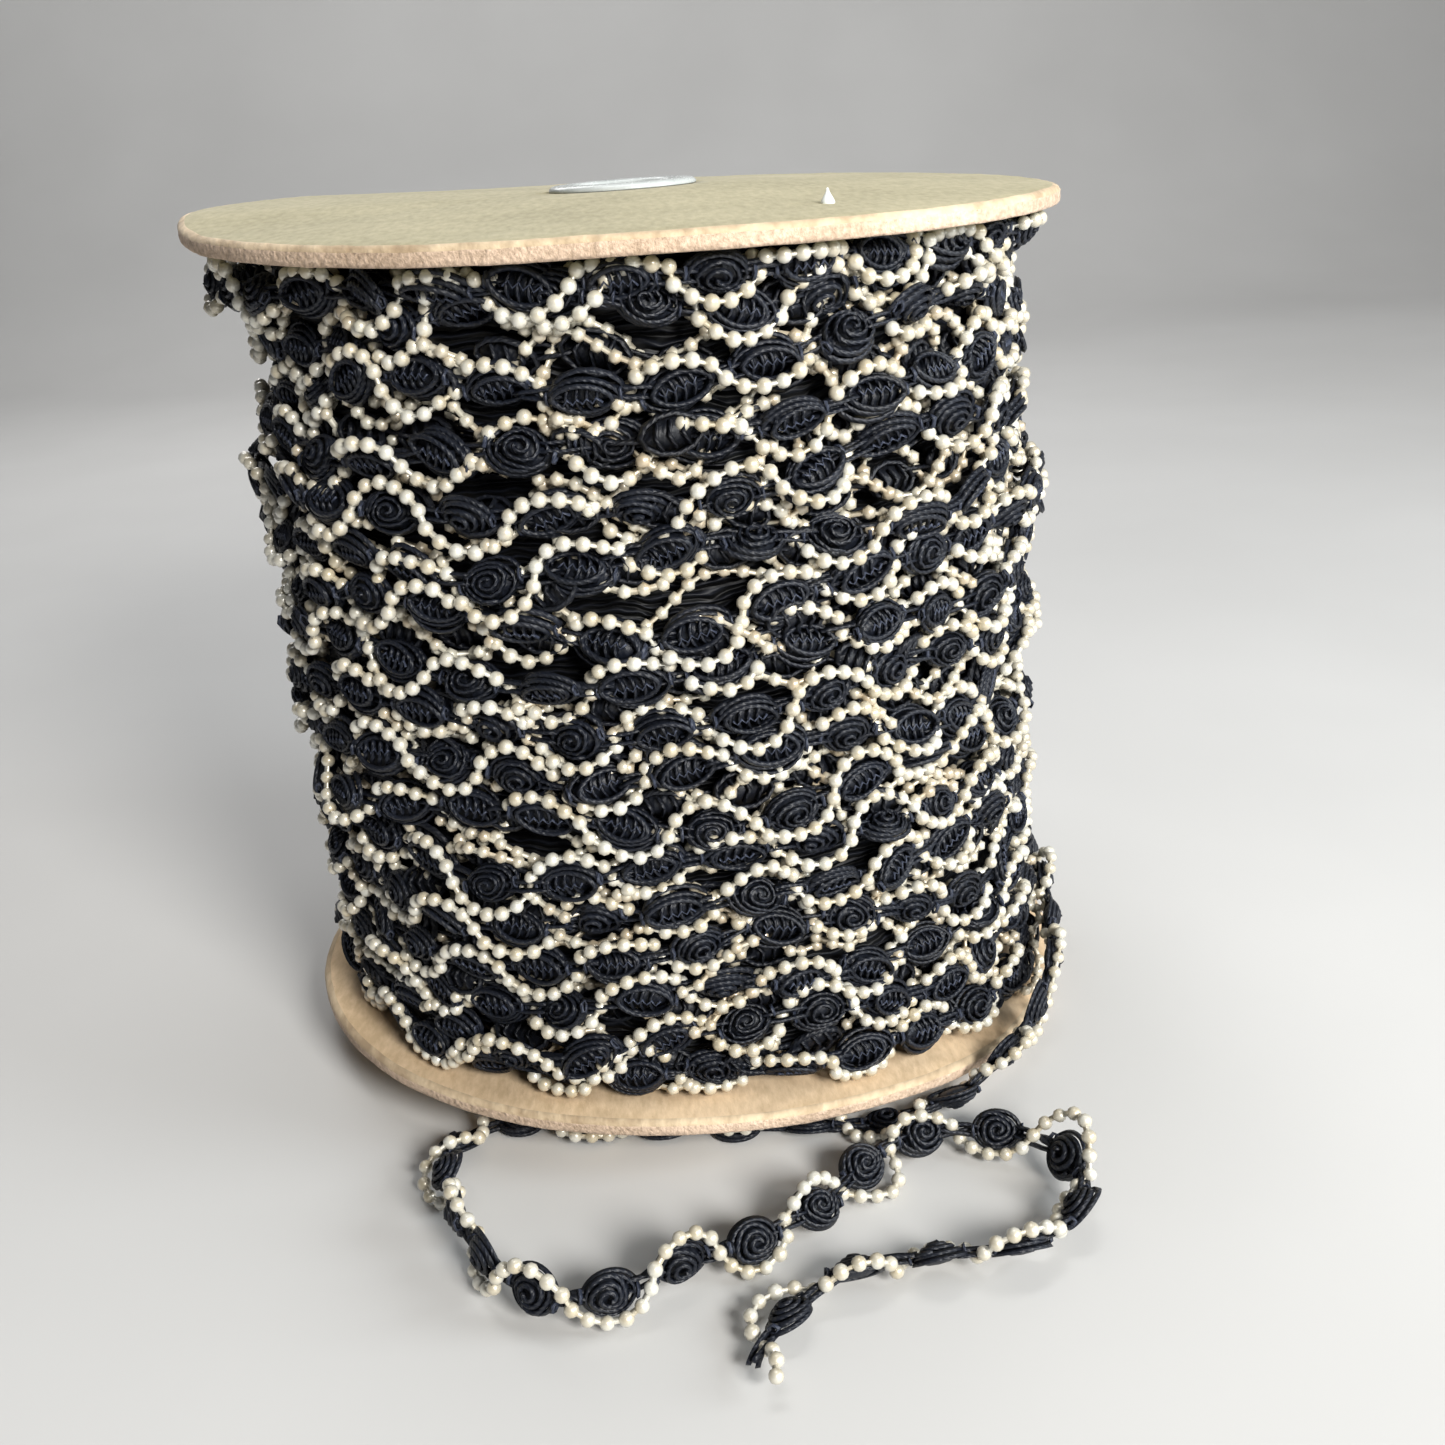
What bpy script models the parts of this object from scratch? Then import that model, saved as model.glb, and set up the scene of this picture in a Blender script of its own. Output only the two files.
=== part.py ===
"""A roll of rosette trim: a card spool on two hub rings, the wound trim, and the trim's loose end.

The spool stands on its lower hub ring. The origin is under its middle, on the surface it stands on.
"""

import math

import bmesh
import bpy
from mathutils import Vector

MM = 0.001

# Driving dimensions
FLANGE_RADIUS = 76 * MM
FLANGE_THICKNESS = 3 * MM
WINDING_HEIGHT = 142.6 * MM
HUB_RADIUS = 13.2 * MM
BORE_RADIUS = 8.5 * MM
CORE_RADIUS = 15 * MM
WOUND_RADIUS = 68.6 * MM
FOOT_HEIGHT = 4.5 * MM
TRIM_WIDTH = 11.3 * MM
TURNS = 16
GAP = 0.3 * MM
FLANGE_STEPS = 80
HUB_STEPS = 40

# Heights that follow from them
LOWER_TOP = FOOT_HEIGHT + FLANGE_THICKNESS
UPPER_BOTTOM = LOWER_TOP + WINDING_HEIGHT
UPPER_TOP = UPPER_BOTTOM + FLANGE_THICKNESS
HUB_LIP = 1.9 * MM
CARD_ROUNDING = 0.6 * MM
HUB_ROUNDING = 0.4 * MM
SLEEVE_RADIUS = 11.2 * MM
SLEEVE_DEPTH = 14 * MM
HOLE_RADIUS = SLEEVE_RADIUS + GAP
ROW_PITCH = (WINDING_HEIGHT - TRIM_WIDTH) / (TURNS - 1)
FIRST_ROW = LOWER_TOP + TRIM_WIDTH / 2

# Relief of the wound trim
ROW_RELIEF = 1.1 * MM
BARREL = 1.2 * MM
UNEVEN = 0.6 * MM
ROW_SWAY = 0.16
AROUND_STEPS = 60
RINGS_PER_ROW = 4

# The loose end: half its width and half its thickness as a plain flat cord, and the run between points
TAIL_HALF_WIDTH = TRIM_WIDTH / 2
TAIL_HALF_THICKNESS = 1.5 * MM
TAIL_STEP = 6 * MM

# Two turns that stand out from the roll: direction in degrees, height, how far they stand out
LOOSE_TURNS = (
    {"direction": 183, "height": 115 * MM, "out": 5.0 * MM},
    {"direction": -4, "height": 98 * MM, "out": 5.2 * MM},
)
LOOSE_TURN_REACH = 15
LOOSE_TURN_HALF_HEIGHT = 6 * MM

# The loose end's route where it leaves the roll and goes over the flange's rim:
# direction in degrees, distance from the axis and height in mm, lean from flat in degrees
ROUTE_OVER_RIM = (
    {"direction": 14, "reach": 73.4, "height": 17.5, "lean": 90},
    {"direction": 3, "reach": 73.8, "height": 17.0, "lean": 90},
    {"direction": -10, "reach": 74.6, "height": 16.0, "lean": 90},
    {"direction": -21, "reach": 76.4, "height": 14.8, "lean": 88},
    {"direction": -31, "reach": 78.8, "height": 12.6, "lean": 84},
    {"direction": -41, "reach": 80.0, "height": 9.3, "lean": 76},
    {"direction": -50, "reach": 80.4, "height": 6.4, "lean": 58},
    {"direction": -58, "reach": 78.5, "height": 3.6, "lean": 20},
)

# The same route on the surface, under the lower flange and out in front: place in mm, lean from flat in degrees
ROUTE_ON_SURFACE = (
    {"x": 32.5, "y": -67.5, "lean": 0},
    {"x": 23.0, "y": -67.3, "lean": 0},
    {"x": 10.0, "y": -65.0, "lean": 0},
    {"x": -8.0, "y": -62.5, "lean": 0},
    {"x": -20.0, "y": -60.5, "lean": 0},
    {"x": -29.0, "y": -57.8, "lean": 0},
    {"x": -37.0, "y": -57.2, "lean": 0},
    {"x": -43.0, "y": -60.8, "lean": 0},
    {"x": -45.4, "y": -67.0, "lean": 25},
    {"x": -44.8, "y": -73.0, "lean": 65},
    {"x": -43.4, "y": -78.5, "lean": 90},
    {"x": -42.0, "y": -84.0, "lean": 90},
    {"x": -39.8, "y": -90.0, "lean": 90},
    {"x": -36.1, "y": -96.6, "lean": 90},
    {"x": -31.0, "y": -103.0, "lean": 90},
    {"x": -24.0, "y": -107.5, "lean": 90},
    {"x": -15.5, "y": -107.0, "lean": 88},
    {"x": -6.2, "y": -102.8, "lean": 80},
    {"x": 5.5, "y": -99.0, "lean": 70},
    {"x": 11.5, "y": -95.4, "lean": 60},
    {"x": 17.0, "y": -91.2, "lean": 50},
    {"x": 21.4, "y": -86.5, "lean": 45},
    {"x": 25.5, "y": -81.8, "lean": 45},
    {"x": 30.5, "y": -77.9, "lean": 45},
    {"x": 36.2, "y": -76.0, "lean": 45},
    {"x": 42.3, "y": -75.8, "lean": 45},
    {"x": 48.8, "y": -77.0, "lean": 45},
    {"x": 54.3, "y": -80.3, "lean": 48},
    {"x": 57.8, "y": -85.6, "lean": 52},
    {"x": 58.6, "y": -92.0, "lean": 56},
    {"x": 56.1, "y": -98.4, "lean": 56},
    {"x": 50.1, "y": -103.2, "lean": 50},
    {"x": 42.4, "y": -105.0, "lean": 45},
    {"x": 33.6, "y": -104.9, "lean": 45},
    {"x": 26.0, "y": -104.8, "lean": 45},
    {"x": 18.6, "y": -106.3, "lean": 40},
    {"x": 11.5, "y": -110.5, "lean": 30},
    {"x": 5.6, "y": -116.5, "lean": 20},
    {"x": 1.5, "y": -124.0, "lean": 10},
)
SAMPLES_PER_ROUTE_POINT = 20


def clear_scene():
    for obj in list(bpy.data.objects):
        bpy.data.objects.remove(obj, do_unlink=True)


def material(name, colour, roughness):
    made = bpy.data.materials.new(name)
    made.use_nodes = True
    shader = made.node_tree.nodes["Principled BSDF"]
    shader.inputs["Base Color"].default_value = (*colour, 1)
    shader.inputs["Roughness"].default_value = roughness
    return made


def add_object(name, data, finish):
    obj = bpy.data.objects.new(name, data)
    bpy.context.collection.objects.link(obj)
    data.materials.append(finish)
    return obj


def turned(name, profile, steps, finish):
    """A closed profile of (radius, height) points turned round Z."""
    shape = bmesh.new()
    points = [shape.verts.new((radius, 0, height)) for radius, height in profile]
    edges = [shape.edges.new((points[i - 1], points[i])) for i in range(len(points))]
    bmesh.ops.spin(
        shape, geom=points + edges, cent=(0, 0, 0), axis=(0, 0, 1), angle=math.tau, steps=steps, use_merge=True
    )
    bmesh.ops.remove_doubles(shape, verts=shape.verts, dist=1e-6)
    bmesh.ops.recalc_face_normals(shape, faces=shape.faces)
    mesh = bpy.data.meshes.new(name)
    shape.to_mesh(mesh)
    shape.free()
    mesh.shade_smooth()
    mesh.set_sharp_from_angle(angle=math.radians(35))
    return add_object(name, mesh, finish)


def flange(name, bottom, finish):
    """A card disc with a slightly rounded edge and a hole for the hub's sleeve."""
    top = bottom + FLANGE_THICKNESS
    soft = CARD_ROUNDING
    profile = (
        (HOLE_RADIUS, bottom),
        (FLANGE_RADIUS - soft, bottom),
        (FLANGE_RADIUS, bottom + soft),
        (FLANGE_RADIUS, top - soft),
        (FLANGE_RADIUS - soft, top),
        (HOLE_RADIUS, top),
    )
    return turned(name, profile, FLANGE_STEPS, finish)


def hub_ring(name, face, lip, inward, finish):
    """A flanged bush: its lip lies on the flange, its sleeve goes through into the core.

    face is the height of the flange's outer face, and inward is -1 for the upper ring and 1 for the lower.
    """
    soft = HUB_ROUNDING
    under = face - inward * GAP
    outside = face - inward * lip
    inner_end = face + inward * SLEEVE_DEPTH
    profile = (
        (BORE_RADIUS, inner_end),
        (SLEEVE_RADIUS, inner_end),
        (SLEEVE_RADIUS, under),
        (HUB_RADIUS, under),
        (HUB_RADIUS, outside + inward * soft),
        (HUB_RADIUS - soft, outside),
        (BORE_RADIUS + soft, outside),
        (BORE_RADIUS, outside + inward * soft),
    )
    return turned(name, profile, HUB_STEPS, finish)


def core_tube(finish):
    bottom = LOWER_TOP + GAP
    top = UPPER_BOTTOM - GAP
    profile = ((HOLE_RADIUS, bottom), (CORE_RADIUS, bottom), (CORE_RADIUS, top), (HOLE_RADIUS, top))
    return turned("core_tube", profile, HUB_STEPS, finish)


def loose_turn(around, height):
    """How far the two loose turns lift the surface here."""
    total = 0
    for turn in LOOSE_TURNS:
        away = (math.degrees(around) - turn["direction"] + 180) % 360 - 180
        across = away / LOOSE_TURN_REACH
        along = (height - turn["height"]) / LOOSE_TURN_HALF_HEIGHT
        total += turn["out"] * math.exp(-across * across - along * along)
    return total


def wound_surface(around, height):
    """Radius of the wound trim: a slight barrel, uneven tension, and one ridge for each helical turn."""
    share = (height - LOWER_TOP) / WINDING_HEIGHT
    barrel = BARREL * (math.sin(math.pi * share) - share**6)
    uneven = UNEVEN * (math.sin(3 * around + 5 * share) + math.sin(5 * around - 9 * share))
    sway = ROW_SWAY * (math.sin(2 * around + 7 * share) + math.sin(5 * around - 4 * share))
    row = (height - FIRST_ROW) / ROW_PITCH - around / math.tau + sway
    ridge = ROW_RELIEF * math.cos(math.tau * row)
    return WOUND_RADIUS + barrel + uneven + ridge + loose_turn(around, height)


def wound_trim(finish):
    """The wound trim as one solid ring between the flanges."""
    bottom = LOWER_TOP + GAP
    top = UPPER_BOTTOM - GAP
    rings = TURNS * RINGS_PER_ROW + 1
    shape = bmesh.new()

    def ring(radius_at, height):
        made = []
        for step in range(AROUND_STEPS):
            around = math.tau * step / AROUND_STEPS
            radius = radius_at(around, height)
            made.append(shape.verts.new((radius * math.cos(around), radius * math.sin(around), height)))
        return made

    def inner_radius(around, height):
        return CORE_RADIUS + GAP

    loops = [ring(inner_radius, bottom)]
    for index in range(rings):
        loops.append(ring(wound_surface, bottom + (top - bottom) * index / (rings - 1)))
    loops.append(ring(inner_radius, top))
    for index, lower in enumerate(loops):
        upper = loops[(index + 1) % len(loops)]
        for step in range(AROUND_STEPS):
            after = (step + 1) % AROUND_STEPS
            shape.faces.new((lower[step], lower[after], upper[after], upper[step]))
    bmesh.ops.recalc_face_normals(shape, faces=shape.faces)
    mesh = bpy.data.meshes.new("trim_roll")
    shape.to_mesh(mesh)
    shape.free()
    mesh.shade_smooth()
    return add_object("trim_roll", mesh, finish)


def resting_height(lean):
    """Height of the flat cord's middle where its lower edge just clears the surface."""
    return (TAIL_HALF_WIDTH - TAIL_HALF_THICKNESS) * math.sin(lean) + TAIL_HALF_THICKNESS + GAP


def route_points():
    """The loose end's route as (point, lean in radians) pairs, from the roll to the cut end."""
    route = []
    for row in ROUTE_OVER_RIM:
        around = math.radians(row["direction"])
        point = Vector((row["reach"] * math.cos(around), row["reach"] * math.sin(around), row["height"])) * MM
        route.append((point, math.radians(row["lean"])))
    for row in ROUTE_ON_SURFACE:
        lean = math.radians(row["lean"])
        route.append((Vector((row["x"] * MM, row["y"] * MM, resting_height(lean))), lean))
    return route


def smooth_route(route, step):
    """Points about one step apart on a smooth curve through the route's own points."""
    dense = []
    for index in range(len(route) - 1):
        before = route[max(index - 1, 0)]
        start = route[index]
        end = route[index + 1]
        after = route[min(index + 2, len(route) - 1)]
        for part in range(SAMPLES_PER_ROUTE_POINT):
            t = part / SAMPLES_PER_ROUTE_POINT
            weights = (
                -0.5 * t + t * t - 0.5 * t**3,
                1 - 2.5 * t * t + 1.5 * t**3,
                0.5 * t + 2 * t * t - 1.5 * t**3,
                -0.5 * t * t + 0.5 * t**3,
            )
            four = (before, start, end, after)
            point = sum((w * item[0] for w, item in zip(weights, four)), Vector())
            lean = start[1] + (end[1] - start[1]) * t
            dense.append((point, lean))
    dense.append(route[-1])
    lengths = [0]
    for first, second in zip(dense, dense[1:]):
        lengths.append(lengths[-1] + (second[0] - first[0]).length)
    count = round(lengths[-1] / step)
    spaced = []
    at = 0
    for index in range(count + 1):
        wanted = lengths[-1] * index / count
        while at < len(dense) - 2 and lengths[at + 1] < wanted:
            at += 1
        share = (wanted - lengths[at]) / (lengths[at + 1] - lengths[at])
        point = dense[at][0].lerp(dense[at + 1][0], share)
        spaced.append((point, dense[at][1] + (dense[at + 1][1] - dense[at][1]) * share))
    return spaced


def loose_end(finish):
    """The trim's loose end as a plain flat cord, on edge where it leaves the roll and flat on the surface."""
    curve = bpy.data.curves.new("trim_tail", "CURVE")
    curve.dimensions = "3D"
    curve.twist_mode = "Z_UP"
    curve.extrude = TAIL_HALF_WIDTH - TAIL_HALF_THICKNESS
    curve.bevel_depth = TAIL_HALF_THICKNESS
    curve.bevel_resolution = 2
    curve.use_fill_caps = True
    spline = curve.splines.new("POLY")
    points = smooth_route(route_points(), TAIL_STEP)
    spline.points.add(len(points) - 1)
    for slot, (point, lean) in zip(spline.points, points):
        slot.co = (*point, 1)
        slot.tilt = lean - math.pi / 2
    return add_object("trim_tail", curve, finish)


def build():
    clear_scene()
    card = material("card", (0.50, 0.37, 0.25), 0.9)
    plain_tube = material("core_card", (0.42, 0.33, 0.24), 0.9)
    hub = material("hub", (0.62, 0.64, 0.66), 0.3)
    black = material("trim", (0.012, 0.013, 0.018), 0.6)
    loose_black = material("loose_trim", (0.012, 0.013, 0.018), 0.6)
    flange("flange_bottom", FOOT_HEIGHT, card)
    flange("flange_top", UPPER_BOTTOM, card)
    core_tube(plain_tube)
    hub_ring("hub_ring_bottom", FOOT_HEIGHT, FOOT_HEIGHT, 1, hub)
    hub_ring("hub_ring_top", UPPER_TOP, HUB_LIP + GAP, -1, hub)
    wound_trim(black)
    loose_end(loose_black)


build()
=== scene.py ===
"""The looks of a roll of rosette trim: the card spool, the wound trim with its pearls, and the loose end."""

import math

import bmesh
import bpy
import numpy as np
from mathutils import Matrix, Vector


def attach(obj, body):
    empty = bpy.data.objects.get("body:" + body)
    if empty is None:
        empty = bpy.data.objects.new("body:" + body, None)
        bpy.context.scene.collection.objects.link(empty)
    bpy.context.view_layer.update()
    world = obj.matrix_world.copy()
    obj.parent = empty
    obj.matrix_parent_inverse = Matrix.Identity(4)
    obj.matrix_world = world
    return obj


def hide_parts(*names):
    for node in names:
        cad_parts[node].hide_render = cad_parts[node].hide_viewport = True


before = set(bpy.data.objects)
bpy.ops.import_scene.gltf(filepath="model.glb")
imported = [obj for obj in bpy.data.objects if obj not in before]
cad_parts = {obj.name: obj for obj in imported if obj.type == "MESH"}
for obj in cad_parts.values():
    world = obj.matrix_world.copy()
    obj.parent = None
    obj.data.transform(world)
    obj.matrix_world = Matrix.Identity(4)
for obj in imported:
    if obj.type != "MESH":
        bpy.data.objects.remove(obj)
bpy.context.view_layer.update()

MM = 0.001
TAU = math.tau

# Driving dimensions, as in the frame
FLANGE_RADIUS = 76 * MM
FLANGE_THICKNESS = 3 * MM
WINDING_HEIGHT = 142.6 * MM
FOOT_HEIGHT = 4.5 * MM
HOLE_RADIUS = 11.5 * MM
WOUND_RADIUS = 68.6 * MM
TRIM_WIDTH = 11.3 * MM
TURNS = 16
LOWER_TOP = FOOT_HEIGHT + FLANGE_THICKNESS
UPPER_BOTTOM = LOWER_TOP + WINDING_HEIGHT
UPPER_TOP = UPPER_BOTTOM + FLANGE_THICKNESS
ROW_PITCH = (WINDING_HEIGHT - TRIM_WIDTH) / (TURNS - 1)
FIRST_ROW = LOWER_TOP + TRIM_WIDTH / 2
LAST_ROW = UPPER_BOTTOM - TRIM_WIDTH / 2
BARREL = 1.2 * MM
UNEVEN = 0.6 * MM
ROW_SWAY = 0.16

# Where the winding stands out or lies in, in the frame and then in the looks alone: direction in degrees,
# height and how far out in mm, reach to each side in degrees, half height in mm
LOOSE_TURNS = ((183, 115, 5.0, 15, 6), (-4, 98, 5.2, 15, 6))
SLACK = (
    (190, 133, -6.6, 34, 8), (186, 147, 2.6, 18, 4), (187, 116, -1.6, 22, 8), (188, 86, -1.6, 30, 16),
    (2, 62, -1.8, 40, 26), (335, 12, 1.6, 30, 9), (350, 35, 1.8, 20, 8), (350, 21, 1.6, 16, 8),
    (338, 14, 2.0, 16, 8),
)
FOOT_SPREAD = 1.6 * MM
FOOT_SPREAD_HEIGHT = 11 * MM

# The wound trim's middle line: its radius, the limits of its height, how high up it follows the lower card's
# warp, and the turn numbers between which it comes to stand out
TRIM_RADIUS = WOUND_RADIUS - 0.4 * MM
LOWEST_ROW = FIRST_ROW - 0.6 * MM
HIGHEST_ROW = LAST_ROW + 2.0 * MM
CARD_FOLLOWED = 45 * MM
LAST_TURN_OUT = 1.5 * MM
LAST_TURN_FROM = 15.0
LAST_TURN_FULL = 15.4

# The trim: a rosette every pitch, and a pearl chain that waves from side to side once in two rosettes. The
# sizes are the least and the greatest scale
ROSETTE_PITCH = 13.6 * MM
ROSETTE_SIZES = (0.98, 1.13)
ROLL_STRETCH = 1.17
ROLL_PIECES = 4
LEAF_PATTERNS = 9
ROSE_PATTERNS = 5
BARE_END = 3 * MM
CORD_TWIST = 1.1 * MM
PEARL_RADIUS = 1.22 * MM
PEARL_SPACING = 2.96 * MM
BEAD_SIZES = (0.94, 1.05)
LINK_RADIUS = 0.6 * MM
LONGEST_LINK = 1.6 * PEARL_SPACING
WAVE_HEIGHT = 4.5 * MM
CHAIN_BEHIND = -1.8 * MM
CHAIN_BEFORE = 1.3 * MM
CHAIN_FRONT = 1.2 * MM
SHARE_BEFORE = 0.3
BETWEEN_INSET = 1.3 * MM
BETWEEN_WAVE = 3.0 * MM

# The room that beads keep to a card, how they give way under a rosette of the outer layer, and how long
# touching beads are moved apart
BEAD_CLEAR = 0.2 * MM
EASE_ROOM = 2.0 * MM
SUNK_DEPTH = 2.4 * MM
SUNK_NEAR = 3.9 * MM
SUNK_FAR = 5.0 * MM
SETTLING_ROUNDS = 14
MOST_BEADS_AT_A_HEIGHT = 120

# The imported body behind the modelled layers, in bundles of cord
BODY_INNER_RADIUS = 17 * MM
BODY_RADIUS = WOUND_RADIUS - 5.0 * MM
BODY_CLEAR = 0.3 * MM
BUNDLE_PITCH = 2.9 * MM
BUNDLE_RELIEF = 0.55 * MM
PACKED_CORD = 1.3 * MM

# Both cards are warped: how far the rim stands above flat, in millimetres, by direction in degrees
UPPER_RIM_RISE = (
    (0, -1.2), (30, -0.4), (60, 0.8), (90, 1.9), (105, 2.1), (120, 2.8), (135, 3.8), (150, 4.8), (180, 4.8),
    (192, 4.1), (205, 2.3), (215, 1.7), (225, 1.1), (235, 0.6), (250, 0.0), (270, 0.0), (290, -0.5),
    (310, -1.0),
)
UPPER_MIDDLE_RISE = 3.0 * MM
LOWER_RIM_RISE = (
    (0, -3.5), (45, -3.4), (90, -2.0), (135, 1.0), (170, 3.0), (190, 4.0), (225, 4.6), (262, 4.6), (277, 3.5),
    (290, 2.2), (298, 0.9), (305, -0.2), (312, -1.8), (320, -3.3), (330, -3.8), (345, -3.7),
)
WARP_FROM = 16 * MM

# A card's form in mm: the rings of its flat faces, and its rounded edge as distances in from the rim and down
# from the top. Its border is torn from one radius outwards
CARD_RINGS = (16, 24, 36, 50, 62, 71, 74.7)
CARD_EDGE = ((1.0, 0.05), (0.4, 0.3), (0.05, 0.8), (0, 1.4), (0, 2.0), (0.1, 2.5), (0.4, 2.85), (1.0, 3.0))
TORN_FROM = 74.5 * MM
TORN_DENTS = 0.7 * MM
DROP_PLACE = (30.1 * MM, -50.0 * MM)

# The loose end's route, as in the frame. Over the rim: direction in degrees, distance from the axis and
# height in mm, lean from flat in degrees. On the surface: x and y in mm, and the lean
ROUTE_OVER_RIM = (
    (14, 73.4, 17.5, 90), (3, 73.8, 17.0, 90), (-10, 74.6, 16.0, 90), (-21, 76.4, 14.8, 88),
    (-31, 78.8, 12.6, 84), (-41, 80.0, 9.3, 76), (-50, 80.4, 6.4, 58), (-58, 78.5, 3.6, 20),
)
ROUTE_ON_SURFACE = (
    (32.5, -67.5, 0), (23.0, -67.3, 0), (10.0, -65.0, 0), (-8.0, -62.5, 0), (-20.0, -60.5, 0),
    (-29.0, -57.8, 0), (-37.0, -57.2, 0), (-43.0, -60.8, 0), (-45.4, -67.0, 25), (-44.8, -73.0, 65),
    (-43.4, -78.5, 90), (-42.0, -84.0, 90), (-39.8, -90.0, 90), (-36.1, -96.6, 90), (-31.0, -103.0, 90),
    (-24.0, -107.5, 90), (-15.5, -107.0, 88), (-6.2, -102.8, 80), (5.5, -99.0, 70), (11.5, -95.4, 60),
    (17.0, -91.2, 50), (21.4, -86.5, 45), (25.5, -81.8, 45), (30.5, -77.9, 45), (36.2, -76.0, 45),
    (42.3, -75.8, 45), (48.8, -77.0, 45), (54.3, -80.3, 48), (57.8, -85.6, 52), (58.6, -92.0, 56),
    (56.1, -98.4, 56), (50.1, -103.2, 50), (42.4, -105.0, 45), (33.6, -104.9, 45), (26.0, -104.8, 45),
    (18.6, -106.3, 40), (11.5, -110.5, 30), (5.6, -116.5, 20), (1.5, -124.0, 10),
)
TAIL_HALF_THICKNESS = 1.5 * MM
SURFACE_GAP = 0.3 * MM
TAIL_PITCH = 12.9 * MM
TAIL_SURFACE_CLEAR = 0.05 * MM
TAIL_BEAD_CLEAR = 0.1 * MM
TAIL_WAVE_HEIGHT = 4.6 * MM
TAIL_FACE_TURNS_AT = 108 * MM

# Some rosettes' numbers and how far along the trim they are. The others are spaced evenly between them
TAIL_ROSETTES = ((0, 4.5 * MM), (14, 188.0 * MM), (21, 272.1 * MM), (32, 414.0 * MM))
WOUND_ROSETTES = ((0, 0.5 * ROSETTE_PITCH), (1000, 1000.5 * ROSETTE_PITCH))

# Camera, fitted to the outlines of both flanges in the photograph's 1445 x 1445 frame
IMAGE_SIZE = 1445
SENSOR = 36
FOCAL_PIXELS = 1500
CAMERA_PLACE = (0, -283.7 * MM, 166.1 * MM)
CAMERA_PAN = math.radians(2.11)
CAMERA_TILT = math.radians(21.86)
CAMERA_ROLL = math.radians(-4.37)


def add_camera():
    data = bpy.data.cameras.new("camera")
    data.sensor_width = SENSOR
    data.lens = SENSOR * FOCAL_PIXELS / IMAGE_SIZE
    data.clip_start = 0.01
    camera = bpy.data.objects.new("camera", data)
    bpy.context.scene.collection.objects.link(camera)
    turn = Matrix.Rotation(-CAMERA_PAN, 4, "Z")
    tip = Matrix.Rotation(math.pi / 2 - CAMERA_TILT, 4, "X")
    roll = Matrix.Rotation(CAMERA_ROLL, 4, "Z")
    camera.matrix_world = Matrix.Translation(CAMERA_PLACE) @ turn @ tip @ roll
    bpy.context.scene.camera = camera


# Materials


class Finish:
    """A material, and the nodes that it is made of."""

    def __init__(self, name):
        self.material = bpy.data.materials.new(name)
        self.material.use_nodes = True
        self.nodes = self.material.node_tree.nodes
        self.links = self.material.node_tree.links
        self.shader = self.nodes["Principled BSDF"]

    def feed(self, socket, value):
        """Give a socket a number, a colour or another node's output."""
        if isinstance(value, (int, float)):
            socket.default_value = value
        elif isinstance(value, tuple):
            socket.default_value = (*value, 1)
        else:
            self.links.new(value, socket)

    def look(self, values):
        for name, value in values.items():
            self.feed(self.shader.inputs[name], value)

    def attribute(self, name, output):
        node = self.nodes.new("ShaderNodeAttribute")
        node.attribute_name = name
        return node.outputs[output]

    def place(self):
        return self.nodes.new("ShaderNodeTexCoord").outputs["Object"]

    def split(self, vector):
        """The three parts of a vector."""
        node = self.nodes.new("ShaderNodeSeparateXYZ")
        self.links.new(vector, node.inputs["Vector"])
        return list(node.outputs)

    def noise(self, scale, detail, stretch=(1, 1, 1)):
        """A noise texture in the object's own metres, its scale given in lumps per metre."""
        mapping = self.nodes.new("ShaderNodeMapping")
        mapping.inputs["Scale"].default_value = stretch
        noise = self.nodes.new("ShaderNodeTexNoise")
        noise.inputs["Scale"].default_value = scale
        noise.inputs["Detail"].default_value = detail
        self.links.new(self.place(), mapping.inputs["Vector"])
        self.links.new(mapping.outputs["Vector"], noise.inputs["Vector"])
        return noise.outputs["Fac"]

    def ramp(self, factor, *stops):
        """A colour that goes from one stop to the other. A stop is a position and a colour."""
        node = self.nodes.new("ShaderNodeValToRGB")
        for element, (position, colour) in zip(node.color_ramp.elements, stops):
            element.position = position
            element.color = (*colour, 1)
        self.links.new(factor, node.inputs["Fac"])
        return node.outputs["Color"]

    def math(self, operation, *values):
        node = self.nodes.new("ShaderNodeMath")
        node.operation = operation
        for socket, value in zip(node.inputs, values):
            self.feed(socket, value)
        return node.outputs["Value"]

    def mix(self, factor, first, second):
        """A mix of two colours."""
        node = self.nodes.new("ShaderNodeMix")
        node.data_type = "RGBA"
        for name, kind, value in (("Factor", "VALUE", factor), ("A", "RGBA", first), ("B", "RGBA", second)):
            self.feed(next(each for each in node.inputs if (each.name, each.type) == (name, kind)), value)
        return next(each for each in node.outputs if each.type == "RGBA")

    def bump(self, height, distance, strength):
        node = self.nodes.new("ShaderNodeBump")
        node.inputs["Distance"].default_value = distance
        node.inputs["Strength"].default_value = strength
        self.links.new(height, node.inputs["Height"])
        self.links.new(node.outputs["Normal"], self.shader.inputs["Normal"])


def cord_material(name, satin, stitch_and_highlight, roughness):
    """Twisted satin cord: the strand attribute holds the run along the cord and the way round it."""
    made = Finish(name)
    run, level, rise = made.split(made.attribute("strand", "Vector"))
    turn = made.math("MULTIPLY", made.math("ARCTAN2", rise, level), 3.0)
    twist = made.math("SINE", made.math("ADD", made.math("MULTIPLY", run, TAU / CORD_TWIST), turn))
    relief = made.math("ADD", made.math("MULTIPLY", twist, 0.35), made.noise(2600, 3))
    made.bump(relief, 0.11 * MM, 0.9)
    dyed = made.ramp(made.noise(160, 2), (0.3, satin), (0.7, tuple(1.7 * part for part in satin)))
    # The stitches' pale blue-grey is partly the thread's own colour and partly a painted highlight.
    colour = made.mix(made.attribute("tone", "Fac"), dyed, stitch_and_highlight)
    made.look({"Base Color": colour, "Roughness": roughness, "Specular IOR Level": 0.42})
    return made.material


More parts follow.
